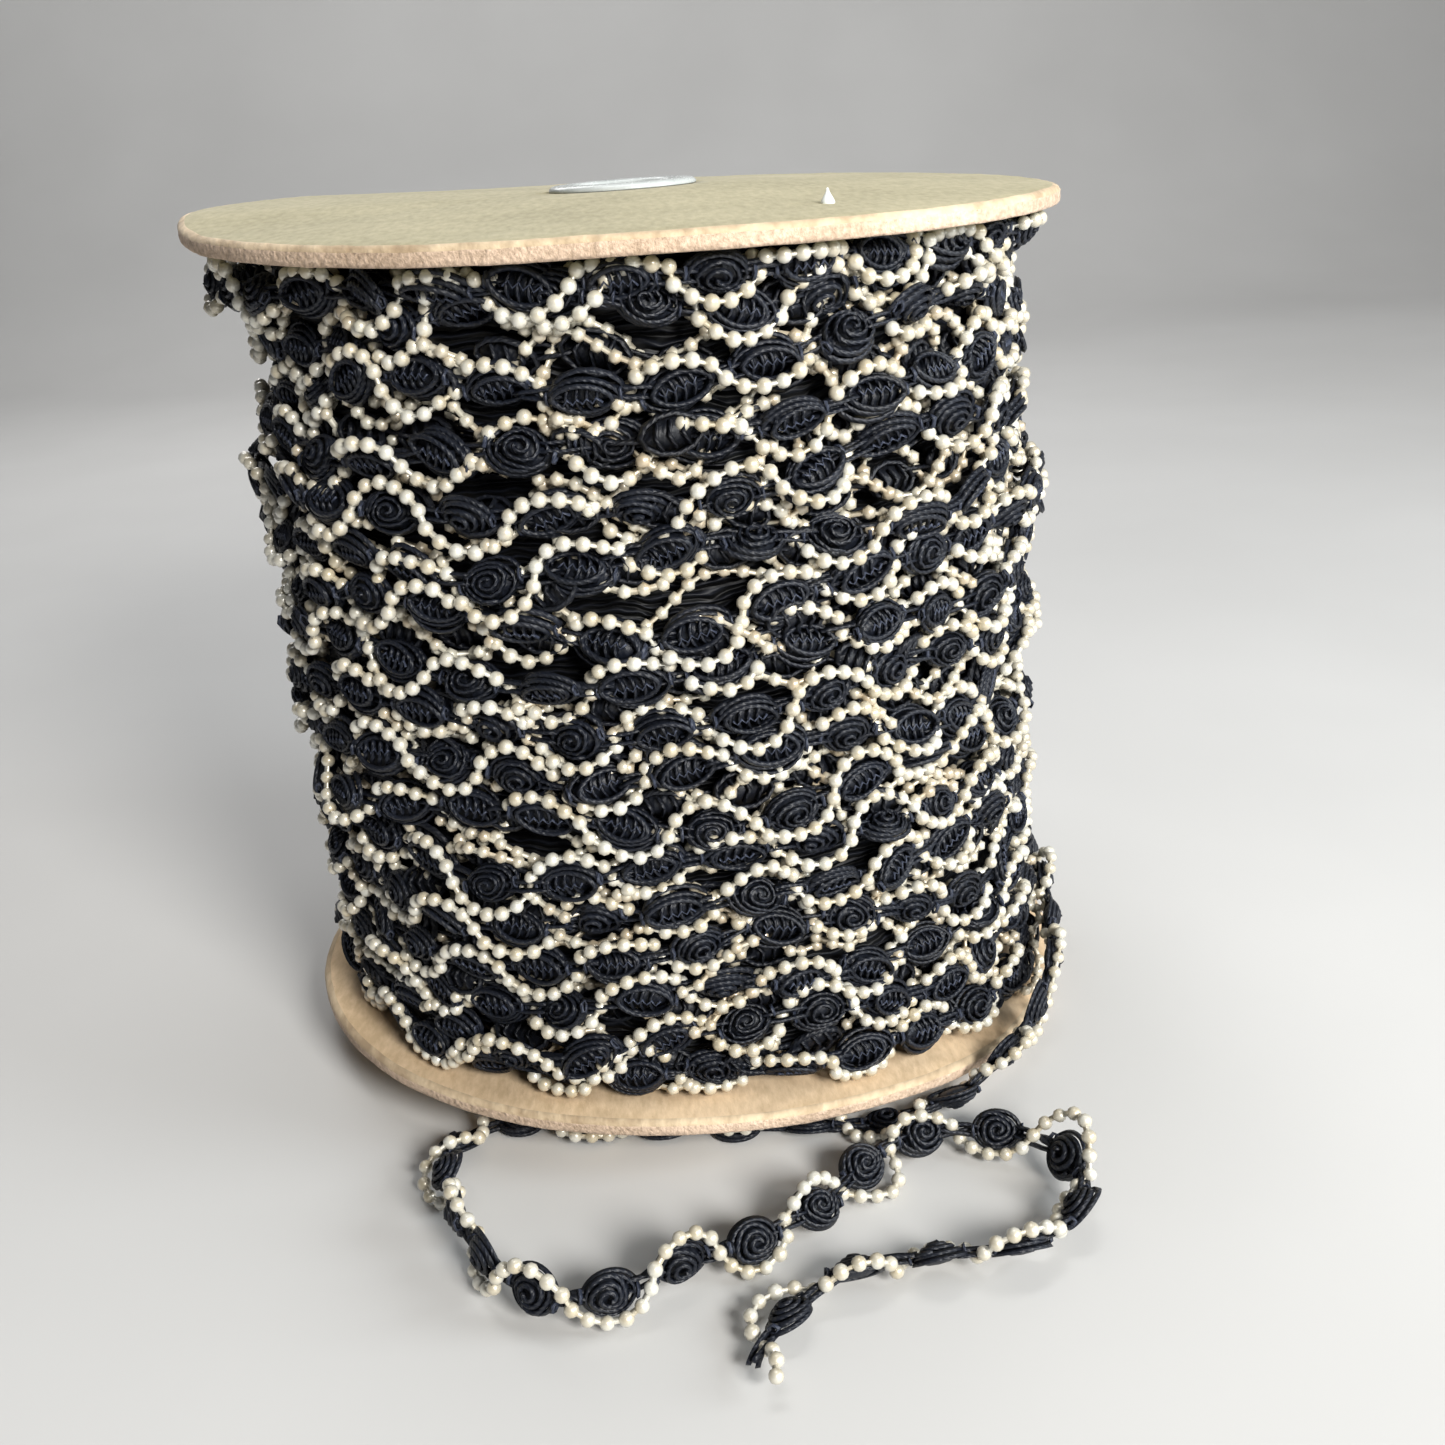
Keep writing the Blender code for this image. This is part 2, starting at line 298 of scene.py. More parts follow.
def packed_material():
    """Cords packed side by side round the core, deep in the winding. Their colour is a painted shade, far
    darker than the outer cords', and it follows the ridges: darker in the grooves, paler on the crests.
    """
    made = Finish("packed_cords_painted_shade")
    level = made.math("MULTIPLY", made.split(made.place())[2], TAU / PACKED_CORD)
    drift = made.math("MULTIPLY", made.noise(110, 2), 22.0)
    ridge = made.math("SINE", made.math("ADD", level, drift))
    # Painted shade in the grooves and painted highlight on the crests of the ridges.
    tone = made.ramp(ridge, (0.0, (0.0009, 0.0011, 0.0017)), (0.8, (0.0054, 0.0068, 0.0116)))
    made.look({"Base Color": tone, "Roughness": 0.55, "Specular IOR Level": 0.35})
    made.bump(ridge, 0.4 * MM, 1.0)
    return made.material


def pearl_material(name, light, deep):
    """Ivory pearl coat with a little colour change from bead to bead."""
    made = Finish(name)
    cloud = made.math("MULTIPLY", made.noise(60, 2), 0.4)
    both = made.math("MULTIPLY_ADD", made.noise(330, 1), 0.6, cloud)
    made.look({"Base Color": made.ramp(both, (0.38, deep), (0.62, light)), "Metallic": 0.2, "Roughness": 0.4})
    made.look({"Specular IOR Level": 0.8, "Coat Weight": 1.0, "Coat IOR": 1.6, "Coat Roughness": 0.15})
    made.bump(made.noise(900, 2), 0.02 * MM, 0.5)
    return made.material


def card_material(name, dark, light, fleck, dents=0.15 * MM, flecks=0.35, fibre=900):
    """Pressed card: mottled fibres, small dark flecks, soft dents."""
    made = Finish(name)
    cloud = made.noise(45, 5)
    fibres = made.noise(fibre, 6, (1, 0.35, 1))
    both = made.math("MULTIPLY_ADD", fibres, 0.55, made.math("MULTIPLY", cloud, 0.45))
    base = made.ramp(both, (0.36, dark), (0.64, light))
    specks = made.ramp(made.noise(2400, 3), (0.66, (0, 0, 0)), (0.74, (1, 1, 1)))
    colour = made.mix(made.math("MULTIPLY", specks, flecks), base, fleck)
    made.look({"Base Color": colour, "Roughness": 0.9, "Specular IOR Level": 0.25, "Sheen Weight": 0.1})
    made.bump(made.math("ADD", fibres, made.math("MULTIPLY", cloud, 2.0)), dents, 0.7)
    return made.material


def hub_material():
    """Glossy pale grey moulding with faint scuffs."""
    made = Finish("hub_gloss")
    scuffs = made.noise(1500, 4, (1, 0.2, 1))
    grey = made.ramp(made.noise(120, 3), (0.3, (0.40, 0.43, 0.42)), (0.7, (0.58, 0.61, 0.60)))
    gloss = made.ramp(scuffs, (0.4, (0.16, 0.16, 0.16)), (0.7, (0.34, 0.34, 0.34)))
    made.look({"Base Color": grey, "Roughness": gloss})
    made.bump(scuffs, 0.02 * MM, 0.4)
    return made.material


def glue_material():
    made = Finish("dried_glue")
    made.look({"Base Color": (0.90, 0.94, 0.92), "Roughness": 0.25})
    return made.material


def floor_material():
    made = Finish("floor_pale")
    pale = made.ramp(made.noise(6, 3), (0.3, (0.55, 0.545, 0.535)), (0.7, (0.59, 0.585, 0.575)))
    made.look({"Base Color": pale, "Roughness": 0.7})
    return made.material


# Mesh making


def add_mesh(name, points, faces, finish, strands=None, tones=None, beads=None):
    """A mesh object from points and a list of face arrays, each with its own number of corners.

    Where beads gives a second finish, the last two face arrays take it."""
    corners = np.concatenate([group.ravel() for group in faces])
    sizes = np.concatenate([np.full(len(group), group.shape[1]) for group in faces])
    starts = np.concatenate([[0], np.cumsum(sizes)[:-1]])
    mesh = bpy.data.meshes.new(name)
    mesh.vertices.add(len(points))
    mesh.vertices.foreach_set("co", np.asarray(points, np.float32).ravel())
    mesh.loops.add(len(corners))
    mesh.loops.foreach_set("vertex_index", corners.astype(np.int32))
    mesh.polygons.add(len(sizes))
    mesh.polygons.foreach_set("loop_start", starts.astype(np.int32))
    if strands is not None:
        mesh.attributes.new("strand", "FLOAT_VECTOR", "POINT")
        mesh.attributes["strand"].data.foreach_set("vector", np.asarray(strands, np.float32).ravel())
        mesh.attributes.new("tone", "FLOAT", "POINT")
        mesh.attributes["tone"].data.foreach_set("value", np.asarray(tones, np.float32))
    mesh.update(calc_edges=True)
    mesh.validate()
    mesh.shade_smooth()
    mesh.materials.append(finish)
    if beads is not None:
        mesh.materials.append(beads)
        bead_faces = sum(len(group) for group in faces[-2:])
        marks = np.zeros(len(mesh.polygons), np.int32)
        marks[-bead_faces:] = 1
        mesh.polygons.foreach_set("material_index", marks)
    obj = bpy.data.objects.new(name, mesh)
    bpy.context.scene.collection.objects.link(obj)
    return obj


# A face's corners in the order that turns it over
TURNED_OVER = [0, 3, 2, 1]


def unit(vectors):
    return vectors / np.maximum(np.linalg.norm(vectors, axis=-1, keepdims=True), 1e-12)


def turned(first, second, angle):
    """Two coordinates turned by an angle in their own plane."""
    cosine, sine = np.cos(angle), np.sin(angle)
    return cosine * first - sine * second, sine * first + cosine * second


def distance_along(line):
    """How far along a line each of its points is."""
    gaps = np.linalg.norm(np.diff(line, axis=0), axis=1)
    return np.concatenate([[0], np.cumsum(gaps)])


def points_at(wanted, along, line):
    """The points of a line at the wanted distances along it."""
    return np.stack([np.interp(wanted, along, line[:, part]) for part in range(3)], -1)


def ring_faces(rings, steps):
    """Faces between each ring of points and the next, and from the last ring to the first."""
    index = np.arange(rings * steps).reshape(rings, steps)
    after = np.roll(index, -1, 1)
    return np.stack([index, np.roll(index, -1, 0), np.roll(after, -1, 0), after], -1).reshape(-1, 4)


class Cords:
    """Round cords gathered into one pattern: points, faces of four and three corners, strand and tone."""

    def __init__(self):
        self.points = []
        self.faces = []
        self.caps = [np.zeros((0, 3), int)]
        self.strands = []
        self.tones = []
        self.count = 0

    def add(self, path, radius, sides=4, closed=False, up=(0, 0, 1), flat=1.0, tone=0.0):
        """A cord along a path of points. up is a direction that the path never follows.

        flat scales the cord's height, and tone says how far its colour is the stitches' pale blue-grey, which
        is partly the thread's own colour and partly painted highlight."""
        path = np.asarray(path, float)
        steps = len(path)
        if closed:
            runs = np.roll(path, -1, 0) - np.roll(path, 1, 0)
        else:
            runs = np.gradient(path, axis=0)
        runs = unit(runs)
        side = unit(np.cross(runs, np.asarray(up, float)))
        rise = np.cross(side, runs)
        angles = TAU * np.arange(sides) / sides + TAU / 4
        radius = np.broadcast_to(np.asarray(radius, float), steps)[:, None, None]
        across = np.cos(angles)[None, :, None]
        above = np.sin(angles)[None, :, None]
        rings = path[:, None] + radius * (across * side[:, None] + flat * above * rise[:, None])
        strand = np.empty((steps, sides, 3))
        strand[..., 0] = distance_along(path)[:, None]
        strand[..., 1] = np.cos(angles)
        strand[..., 2] = np.sin(angles)
        index = self.count + np.arange(steps * sides).reshape(steps, sides)
        after = np.roll(index, -1, 1)
        if closed:
            last = np.roll(index, -1, 0)
            quads = np.stack([index, after, np.roll(after, -1, 0), last], -1).reshape(-1, 4)
        else:
            quads = np.stack([index[:-1], after[:-1], after[1:], index[1:]], -1).reshape(-1, 4)
            if sides == 3:
                self.caps.append(np.array([index[0, ::-1], index[-1]]))
            else:
                corners = [[0, first + 1, first + 2, first + 3] for first in range(0, sides - 2, 2)]
                ends = [index[0, four[::-1]] for four in corners] + [index[-1, four] for four in corners]
                quads = np.concatenate([quads, np.array(ends)])
        self.points.append(rings.reshape(-1, 3))
        self.faces.append(quads)
        self.strands.append(strand.reshape(-1, 3))
        self.tones.append(np.full(steps * sides, float(tone)))
        self.count += steps * sides

    def loop(self, shape, radius):
        """A closed cord of three sides along an ellipse."""
        self.add(ellipse(*shape), radius, 3, closed=True)

    def pattern(self):
        return {
            "points": np.concatenate(self.points),
            "faces": np.concatenate(self.faces),
            "caps": np.concatenate(self.caps),
            "strands": np.concatenate(self.strands),
            "tones": np.concatenate(self.tones),
        }


def ellipse(long, short, steps, turn=0.0, centre=(0, 0, 0), pointed=0.0, first=0.0, sweep=TAU):
    """Points of an ellipse in the trim's plane. pointed sharpens its two tips."""
    whole = abs(sweep - TAU) < 1e-9
    angles = first + sweep * np.arange(steps) / (steps if whole else steps - 1)
    u = long * np.cos(angles)
    v = short * np.sin(angles) * np.abs(np.sin(angles)) ** pointed
    return np.stack([*turned(u, v, turn), np.zeros(steps)], 1) + np.array(centre, float)


# Patterns of the trim, in the trim's own directions: u along it, v across it, w out from its face


def padding(cords, long, short, depth, height):
    """A dark cushion that closes the rosette's back."""
    share = np.linspace(-0.98, 0.98, 5)
    path = np.stack([long * share, 0 * share, 0 * share + height], 1)
    cords.add(path, short * np.sqrt(1 - share**2), 4, flat=depth / short)


def tip_knots(cords, reach, size):
    """The small wraps that hold a rosette's two tips to the band."""
    for side in (-1, 1):
        angles = TAU * np.arange(5) / 5
        v = 1.1 * size * np.cos(angles)
        w = 0.62 * size * np.sin(angles)
        ring = np.stack([0 * angles + side * reach, v, w], 1)
        # The knots take a colour half way to the stitches' pale blue-grey, partly a painted highlight.
        cords.add(ring, 0.33 * MM, 3, closed=True, up=(1, 0, 0), tone=0.55)


def leaf_rosette(rng):
    """Pointed loops laid over each other round a row of curved ribs, with small stitches down the middle."""
    cords = Cords()
    jitter = rng.uniform(-1, 1, 14)
    middle = (0, 0.1 * jitter[1] * MM, 0.15 * MM)
    cords.loop((4.95 * MM, 2.8 * MM, 17, 0.1 * jitter[0], middle, 0.3), 0.45 * MM)
    shifted = ((0.45 + 0.35 * jitter[2]) * MM, 0.3 * jitter[3] * MM, 0.85 * MM)
    front = ellipse(4.15 * MM, 2.25 * MM, 17, 0.14 * jitter[4], shifted, 0.28)
    front[:, 2] += 0.35 * MM * np.sin(np.linspace(0, TAU, len(front)) + math.pi * jitter[5])
    cords.add(front, 0.43 * MM, closed=True)
    over = (0.1 * jitter[6] * MM, (0.35 + 0.2 * jitter[7]) * MM, -0.35 * MM)
    arc = ellipse(4.6 * MM, 3.25 * MM, 11, 0.12 * jitter[8], over, 0.15, 0.05 * TAU, 0.42 * TAU)
    cords.add(arc, 0.45 * MM, 3)
    under = ((-0.5 + 0.3 * jitter[9]) * MM, (-0.35 + 0.3 * jitter[10]) * MM, -0.75 * MM)
    cords.loop((4.9 * MM, 3.05 * MM, 14, -0.1 + 0.16 * jitter[11], under, 0.15), 0.48 * MM)
    bow = 0.6 if jitter[12] > 0 else -0.6
    for u in (-2.5, -1.05, 0.4, 1.85):
        share = np.linspace(-1, 1, 5)
        reach = 2.0 * math.sqrt(1 - (u / 4.2) ** 2)
        rib = np.stack([u + bow * (1 - share**2), reach * share, 0.45 + 0.5 * (1 - share**2)], 1)
        cords.add(rib * MM, 0.38 * MM, 3)
    steps = np.arange(9)
    stitches = np.stack([-2.6 + 0.68 * steps, 0.42 * np.where(steps % 2 == 0, 1, -1), 1.15 + 0 * steps], 1)
    # Stitches in the pale blue-grey that is partly painted highlight.
    cords.add(stitches * MM, 0.22 * MM, 3, tone=1.0)
    padding(cords, 4.3 * MM, 2.6 * MM, 0.9 * MM, -0.6 * MM)
    tip_knots(cords, 5.15 * MM, 0.95 * MM)
    return cords.pattern()


def rose_rosette(rng, detail, stretch=1.0):
    """A satin cord coiled into a small uneven rose with two outer petals. stretch pulls it along the trim."""
    cords = Cords()
    jitter = rng.uniform(-1, 1, 10)
    turns = 2.6 + 0.3 * jitter[0]
    share = np.linspace(0, 1, 30 * detail)
    angles = jitter[1] * math.pi + TAU * turns * share
    radius = (0.35 + 2.45 * share**0.9) * (1 + 0.1 * share * np.cos(3 * angles + math.pi * jitter[8])) * MM
    height = (1.7 - 1.35 * share) * MM
    shift = 0.4 * MM * share * jitter[9]
    long = 1.12 * stretch * radius * np.cos(angles) + shift
    cords.add(np.stack([long, radius * np.sin(angles), height], 1), 0.42 * MM, 4 if detail > 1 else 3)
    over = (0.35 * jitter[2] * MM, 0.3 * jitter[3] * MM, 0.0)
    cords.loop((3.5 * stretch * MM, 2.95 * MM, 16 * detail, 0.15 * jitter[4], over, 0.12), 0.45 * MM)
    under = (0.5 * jitter[5] * MM, 0.4 * jitter[6] * MM, -0.8 * MM)
    cords.loop((3.9 * stretch * MM, 3.15 * MM, 15 * detail, 0.2 * jitter[7], under, 0.05), 0.46 * MM)
    padding(cords, 3.3 * stretch * MM, 2.8 * MM, 0.9 * MM, -0.5 * MM)
    tip_knots(cords, 4.1 * stretch * MM, 0.95 * MM)
    return cords.pattern()


def band(rng, pitch, detail):
    """A loosely twisted bundle of cords between two rosettes."""
    cords = Cords()
    reach = pitch / 2 - 2.9 * MM
    strands = (2, 4, 3)[detail]
    share = np.linspace(-1, 1, 4 + 2 * detail)
    wide = rng.uniform(0.85, 1.15)
    twist = rng.uniform(-1.3, 1.3)
    start = rng.uniform(0, TAU)
    for strand in range(strands):
        turn = start + TAU * strand / strands + twist * share + 0.15 * rng.uniform(-1, 1, len(share))
        v = wide * np.cos(turn) * MM
        w = 0.55 * np.sin(turn) * MM - 0.25 * MM
        cords.add(np.stack([share * reach, v, w], 1), 0.5 * MM, 3)
    return cords.pattern()


def plain_rosette(rng):
    """A coarser rosette for the layer that only shows in the gaps."""
    cords = Cords()
    tilt = rng.uniform(-0.3, 0.3)
    cords.loop((4.5 * MM, 2.8 * MM, 11, 0.6 * tilt, (0, 0, 0.3 * MM), 0.2), 0.55 * MM)
    for u in (-2.2, -0.2, 1.8):
        rib = np.array([[u, -1.9, 0.3], [u + 0.8, 0.0, 1.0], [u, 1.9, 0.3]])
        cords.add(rib * MM, 0.45 * MM, 3)
    share = np.linspace(-0.95, 0.95, 4)
    path = np.stack([4.1 * MM * share, 0 * share, 0 * share - 0.3 * MM], 1)
    cords.add(path, 2.6 * MM * np.sqrt(1 - share**2), 4, flat=0.3)
    return cords.pattern()


def bead(subdivisions):
    """Points and triangles of a round bead."""
    shape = bmesh.new()
    bmesh.ops.create_icosphere(shape, subdivisions=subdivisions, radius=PEARL_RADIUS)
    points = np.array([list(corner.co) for corner in shape.verts])
    faces = np.array([[corner.index for corner in face.verts] for face in shape.faces])
    shape.free()
    return points, faces


# The trim's middle line, wound round the core or lying loose


def wander(rng, wavelength, size):
    """A smooth random function of the run along the trim, with a typical value of size."""
    count = 5
    lengths = wavelength * rng.uniform(0.6, 1.8, count)
    phases = rng.uniform(0, TAU, count)

    def at(along):
        waves = np.sin(TAU * np.asarray(along)[..., None] / lengths + phases)
        return size * waves.sum(axis=-1) / math.sqrt(count / 2)

    return at


def standing_out(lumps, around, height, total=0):
    """How far the winding stands out here: a total, and what each lump adds to it."""
    for direction, middle, out, reach, half_height in lumps:
        across = ((np.degrees(around) - direction + 180) % 360 - 180) / reach
        along = (height - middle * MM) / (half_height * MM)
        total = total + out * MM * np.exp(-across * across - along * along)
    return total


def smooth_step(low, high, values):
    share = np.clip((values - low) / (high - low), 0, 1)
    return share * share * (3 - 2 * share)


def rim_rise(table, around):
    """Rise of a card's rim in each direction, smoothed between the rows of its table."""
    reach = 8
    degrees = np.arange(360)
    angles, rises = np.array(table).T
    rough = np.interp(degrees, angles, rises, period=360)
    smooth = sum(np.roll(rough, step) for step in range(-reach, reach + 1)) / (2 * reach + 1)
    return MM * np.interp(np.degrees(around), degrees, smooth, period=360)


def share_of_rim(x, y):
    """How much of its rim's rise a card has here: none near the hub and all at the rim."""
    return np.clip((np.hypot(x, y) - WARP_FROM) / (FLANGE_RADIUS - WARP_FROM), 0, 1)


def lower_warp(x, y):
    """The lower card rises to the front left and droops to the back right."""
    return share_of_rim(x, y) * rim_rise(LOWER_RIM_RISE, np.arctan2(y, x))


def upper_warp(x, y):
    """The upper card is domed at its hub and bent up at its left."""
    share = share_of_rim(x, y)
    return (1 - share) * UPPER_MIDDLE_RISE + share * rim_rise(UPPER_RIM_RISE, np.arctan2(y, x))


class Wound:
    """A run of trim wound round the core, from one turn number to another.

    The run along it is measured at the reference radius."""

    reference = 69.8 * MM
    rosettes = WOUND_ROSETTES
    pitch = ROSETTE_PITCH

    def __init__(
        self, rng, first_turn, last_turn, inset=0.0, row_pitch=ROW_PITCH, way=1, start=FIRST_ROW, tipping=14
    ):
        self.first_turn = first_turn
        self.length = (last_turn - first_turn) * TAU * self.reference
        self.inset = inset
        self.row_pitch = row_pitch
        self.way = way
        self.start = start
        self.rise = wander(rng, 70 * MM, 1.05 * MM)
        self.push = wander(rng, 60 * MM, 0.75 * MM)
        self.tip = wander(rng, 55 * MM, math.radians(tipping))

    def middle(self, along):
        turns = self.first_turn + along / (TAU * self.reference)
        around = TAU * turns
        share = np.clip(turns / (TURNS - 1), 0, 1)
        sway = ROW_SWAY * (np.sin(2 * around + 7 * share) + np.sin(5 * around - 4 * share))
        height = self.start + self.row_pitch * (turns - sway) + self.rise(along)
        height = np.clip(height, LOWEST_ROW, HIGHEST_ROW)
        level = (height - LOWER_TOP) / WINDING_HEIGHT
        barrel = BARREL * (np.sin(math.pi * level) - level**6)
        uneven = UNEVEN * (np.sin(3 * around + 5 * level) + np.sin(5 * around - 9 * level))
        around = self.way * around
        foot = FOOT_SPREAD * np.exp(-(((height - LOWER_TOP) / FOOT_SPREAD_HEIGHT) ** 2))
        slack = standing_out(SLACK, around, height, foot)
        radius = TRIM_RADIUS + barrel + uneven + self.push(along) - self.inset + slack
        if self.inset == 0:
            last_turn = LAST_TURN_OUT * smooth_step(LAST_TURN_FROM, LAST_TURN_FULL, turns)
            radius = radius + standing_out(LOOSE_TURNS, around, height) + last_turn
        x = radius * np.cos(around)
        y = radius * np.sin(around)
        height = height + lower_warp(x, y) * smooth_step(CARD_FOLLOWED, 0, height - LOWER_TOP)
        return np.stack([x, y, height], -1)

    def frames(self, along):
        """Middle point and the directions along, across and out of the trim's face."""
        along = np.asarray(along, float)
        middle = self.middle(along)
        run = unit(self.middle(along + 0.5 * MM) - self.middle(along - 0.5 * MM))
        straight_out = unit(middle * np.array([1, 1, 0]))
        upright = unit(np.cross(straight_out, run) * self.way)
        straight_out = np.cross(run, upright) * self.way
        tip = self.tip(along)[..., None]
        out = np.cos(tip) * straight_out + np.sin(tip) * upright
        across = np.cos(tip) * upright - np.sin(tip) * straight_out
        return middle, run, across, out


def resting_height(lean):
    """Height of the flat trim's middle where its lower edge just clears the surface."""
    return (TRIM_WIDTH / 2 - TAIL_HALF_THICKNESS) * math.sin(lean) + TAIL_HALF_THICKNESS + SURFACE_GAP


def route_rows():
    """The loose end's route as rows of x, y, z and lean."""
    rows = []
    for direction, reach, height, lean in ROUTE_OVER_RIM:
        around = math.radians(direction)
        x, y = reach * MM * math.cos(around), reach * MM * math.sin(around)
        rows.append((x, y, height * MM, math.radians(lean)))
    for x, y, lean in ROUTE_ON_SURFACE:
        rows.append((x * MM, y * MM, resting_height(math.radians(lean)), math.radians(lean)))
    return np.array(rows)


def smooth_rows(rows, samples):
    """A smooth curve through the rows, with so many samples for each."""
    padded = np.concatenate([rows[:1], rows, rows[-1:]])
    share = (np.arange(samples) / samples)[:, None]
    pieces = []
    for before, start, end, after in zip(padded, padded[1:], padded[2:], padded[3:]):
        curve = 0.5 * (
            2 * start
            + (end - before) * share
            + (2 * before - 5 * start + 4 * end - after) * share**2
            + (3 * start - before - 3 * end + after) * share**3
        )
        curve[:, 3] = (start + (end - start) * share)[:, 3]
        pieces.append(curve)
    return np.concatenate([*pieces, rows[-1:]])


class Loose:
    """The loose end along its route. Its face is outward at the rim and turned up on the surface."""

    rosettes = TAIL_ROSETTES
    pitch = TAIL_PITCH

    def __init__(self):
        self.rows = smooth_rows(route_rows(), 40)
        self.along = distance_along(self.rows[:, :3])
        self.length = self.along[-1]

    def middle(self, along):
        return points_at(along, self.along, self.rows)

    def frames(self, along):
        along = np.asarray(along, float)
        middle = self.middle(along)
        run = unit(self.middle(along + 1.0 * MM) - self.middle(along - 1.0 * MM))
        lean = np.interp(along, self.along, self.rows[:, 3])[..., None]
        left = unit(np.cross(np.array([0.0, 0.0, 1.0]), run))
        across = unit(np.cos(lean) * left + np.sin(lean) * np.array([0.0, 0.0, 1.0]))
        out = np.cross(across, run)
        facing = np.where(along < TAIL_FACE_TURNS_AT, 1.0, -1.0)[..., None]
        return middle, run, across, out * facing


# Laying the patterns along the trim


def lay(pattern, frames, scales, turns):
    """Rigid copies of a pattern, one for each frame, each scaled and turned in its own plane and tipped."""
    middle, run, across, out = frames
    spin, tip_along, tip_across = turns
    u, v, w = (pattern["points"][:, part] for part in range(3))
    u, v = turned(u, v, spin[:, None])
    v, w = turned(v, w, tip_along[:, None])
    u, w = turned(u, w, tip_across[:, None])
    local = np.stack([u, v, w], -1) * scales[:, None, None]
    placed = middle[:, None] + local[..., :1] * run[:, None] + local[..., 1:2] * across[:, None]
    return placed + local[..., 2:] * out[:, None]


def beside(path, along, v, w):
    """Points beside the path's middle line: v across the trim and w out from its face."""
    middle, _, across, out = path.frames(along)
    return middle + v[:, None] * across + w[:, None] * out


def bend(pattern, path, places):
    """Copies of a pattern that follow the path's curve."""
    u, v, w = (pattern["points"][:, part] for part in range(3))
    return beside(path, places[:, None] + u, v, w)


def gather(name, batches, finish, beads=None, bead_shapes=None):
    """One mesh from (pattern, placed points) pairs, with beads of another finish where they are given."""
    points, faces, caps, strands, tones = [], [], [], [], []
    count = 0
    for pattern, placed in batches:
        copies, size = placed.shape[:2]
        points.append(placed.reshape(-1, 3))
        shift = (count + size * np.arange(copies))[:, None, None]
        faces.append((pattern["faces"][None] + shift).reshape(-1, 4))
        caps.append((pattern["caps"][None] + shift).reshape(-1, 3))
        strands.append(np.tile(pattern["strands"], (copies, 1)))
        tones.append(np.tile(pattern["tones"], copies))
        count += copies * size
    groups = [np.concatenate(faces), np.concatenate(caps)]
    if beads is not None:
        bead_points, bead_groups = bead_shapes
        points.append(bead_points)
        groups += [group + count for group in bead_groups]
        strands.append(np.zeros((len(bead_points), 3)))
        tones.append(np.zeros(len(bead_points)))
    return add_mesh(
        name, np.concatenate(points), groups, finish, np.concatenate(strands), np.concatenate(tones), beads
    )


def rosette_centres(path):
    """Where the rosettes are along the trim."""
    numbers, places = np.array(path.rosettes).T
    centres = np.interp(np.arange(numbers[-1] + 1), numbers, places)
    return centres[centres < path.length - BARE_END]


def chain_line(rng, path, wave, side_of_first, front=CHAIN_FRONT):
    """Points of the pearl chain: it arcs round each rosette on alternate sides and crosses at the band.

    Most crossings pass behind the band and some in front."""
    along = np.arange(0.5 * MM, path.length - 0.5 * MM, 0.15 * MM)
    numbers, places = np.array(path.rosettes).T
    repeats = np.interp(along, places, numbers) + 0.5
    repeats = np.where(along < places[0], 0.5 - (places[0] - along) / ROSETTE_PITCH, repeats)
    share = repeats - np.floor(repeats)
    side = np.where(np.floor(repeats).astype(int) % 2 == 0, side_of_first, -side_of_first)
    arch = np.abs(np.sin(math.pi * share))
    wobble = 1 + wander(rng, 24 * MM, 0.13)(along)
    shift = wander(rng, 90 * MM, 0.45 * MM)(along)
    crossing = np.round(repeats).astype(int)
    before = rng.random(crossing.max() + 2) < SHARE_BEFORE
    low = np.where(before[crossing], CHAIN_BEFORE, CHAIN_BEHIND)
    v = side * wave * wobble * arch**0.6 + shift
    w = low + (front - low) * arch**0.38 + wander(rng, 33 * MM, 0.4 * MM)(along)
    return beside(path, along, v, w)


def pearl_places(line):
    along = distance_along(line)
    return points_at(np.arange(0, along[-1], PEARL_SPACING), along, line)


def settle_chain(places):
    """Move beads that overlap apart, and hold neighbours on the chain at their spacing."""
    placed = places.copy()
    clear = 2.02 * PEARL_RADIUS
    longest_link = 1.5 * PEARL_SPACING
    push_share, pull_share = 0.25, 0.3
    for _ in range(SETTLING_ROUNDS):
        moves = np.zeros_like(placed)
        order = np.argsort(placed[:, 2])
        heights = placed[order, 2]
        for step in range(1, MOST_BEADS_AT_A_HEIGHT):
            first, second = order[:-step], order[step:]
            near = np.abs(heights[step:] - heights[:-step]) < clear
            if not near.any():
                break
            first, second = first[near], second[near]
            apart = placed[second] - placed[first]
            gaps = np.linalg.norm(apart, axis=1)
            touching = (gaps < clear) & (np.abs(first - second) > 1)
            first, second = first[touching], second[touching]
            push = push_share * (clear - gaps[touching])[:, None] * unit(apart[touching])
            np.add.at(moves, first, -push)
            np.add.at(moves, second, push)
        link = np.diff(placed, axis=0)
        gaps = np.linalg.norm(link, axis=1)
        pull = np.where(gaps < longest_link, pull_share * (gaps - PEARL_SPACING), 0)[:, None] * unit(link)
        moves[:-1] += pull
        moves[1:] -= pull
        placed = placed + moves
    return placed


